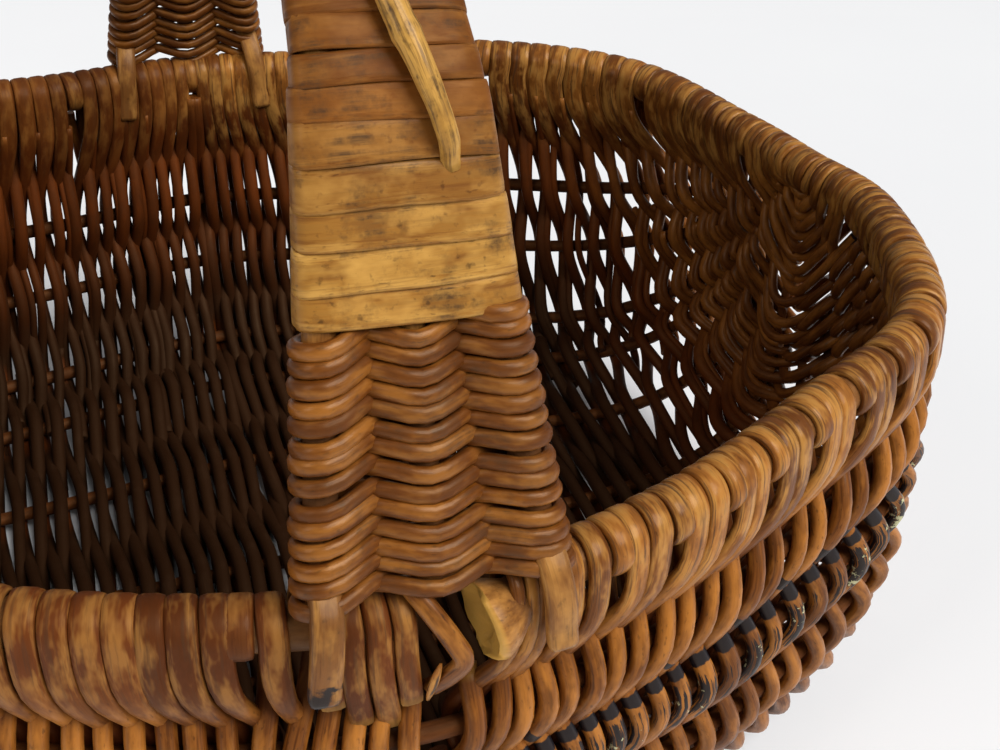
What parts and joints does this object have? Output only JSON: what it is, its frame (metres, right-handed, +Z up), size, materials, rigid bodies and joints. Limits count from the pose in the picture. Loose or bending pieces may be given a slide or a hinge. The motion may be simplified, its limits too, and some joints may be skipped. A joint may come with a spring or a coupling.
{
  "type": "wicker egg collection basket",
  "caption": "Oval frame basket woven from willow rods over a rim hoop and lengthwise ribs, with a fixed bow handle bound in split skein.",
  "frame": {"origin": "on the ground under the middle of the basket", "axes": "+Z up, X along the basket's length, Y along its width and the handle; the broken end of the rim hoop is on the -Y side"},
  "size_m": [0.4946, 0.4286, 0.406],
  "materials": {
    "varnished_rod": "varnished peeled willow, glossy",
    "buff_weaver": "varnished buff willow, satin, darker inside the bowl",
    "dark_rib": "dark buff willow, satin",
    "pale_skein": "split willow skein, worn glossy"
  },
  "bodies": {
    "root": {"rim_hoop": "varnished_rod", "rim_wrapping": "buff_weaver", "rib_near_wall_1": "dark_rib", "rib_near_wall_2": "dark_rib", "rib_near_wall_3": "dark_rib", "rib_near_corner": "dark_rib", "rib_floor_1": "dark_rib", "rib_floor_2": "dark_rib", "rib_floor_3": "dark_rib", "rib_floor_4": "dark_rib", "rib_far_corner": "dark_rib", "rib_far_wall_3": "dark_rib", "rib_far_wall_2": "dark_rib", "rib_far_wall_1": "dark_rib", "weave_near_rim": "buff_weaver", "weave_near_wall_1": "buff_weaver", "weave_near_wall_2": "buff_weaver", "weave_near_wall_3": "buff_weaver", "weave_near_corner": "buff_weaver", "weave_floor_1": "buff_weaver", "weave_floor_2": "buff_weaver", "weave_floor_3": "buff_weaver", "weave_far_corner_2": "buff_weaver", "weave_far_corner_1": "buff_weaver", "weave_far_wall_2": "buff_weaver", "weave_far_wall_1": "buff_weaver", "weave_far_rim": "buff_weaver", "handle_left_rod": "varnished_rod", "handle_centre_rod": "varnished_rod", "handle_right_rod": "varnished_rod", "handle_weave_near": "buff_weaver", "handle_weave_far": "buff_weaver", "handle_skein": "pale_skein", "handle_leader_rod": "pale_skein"}
  },
  "joints": []
}
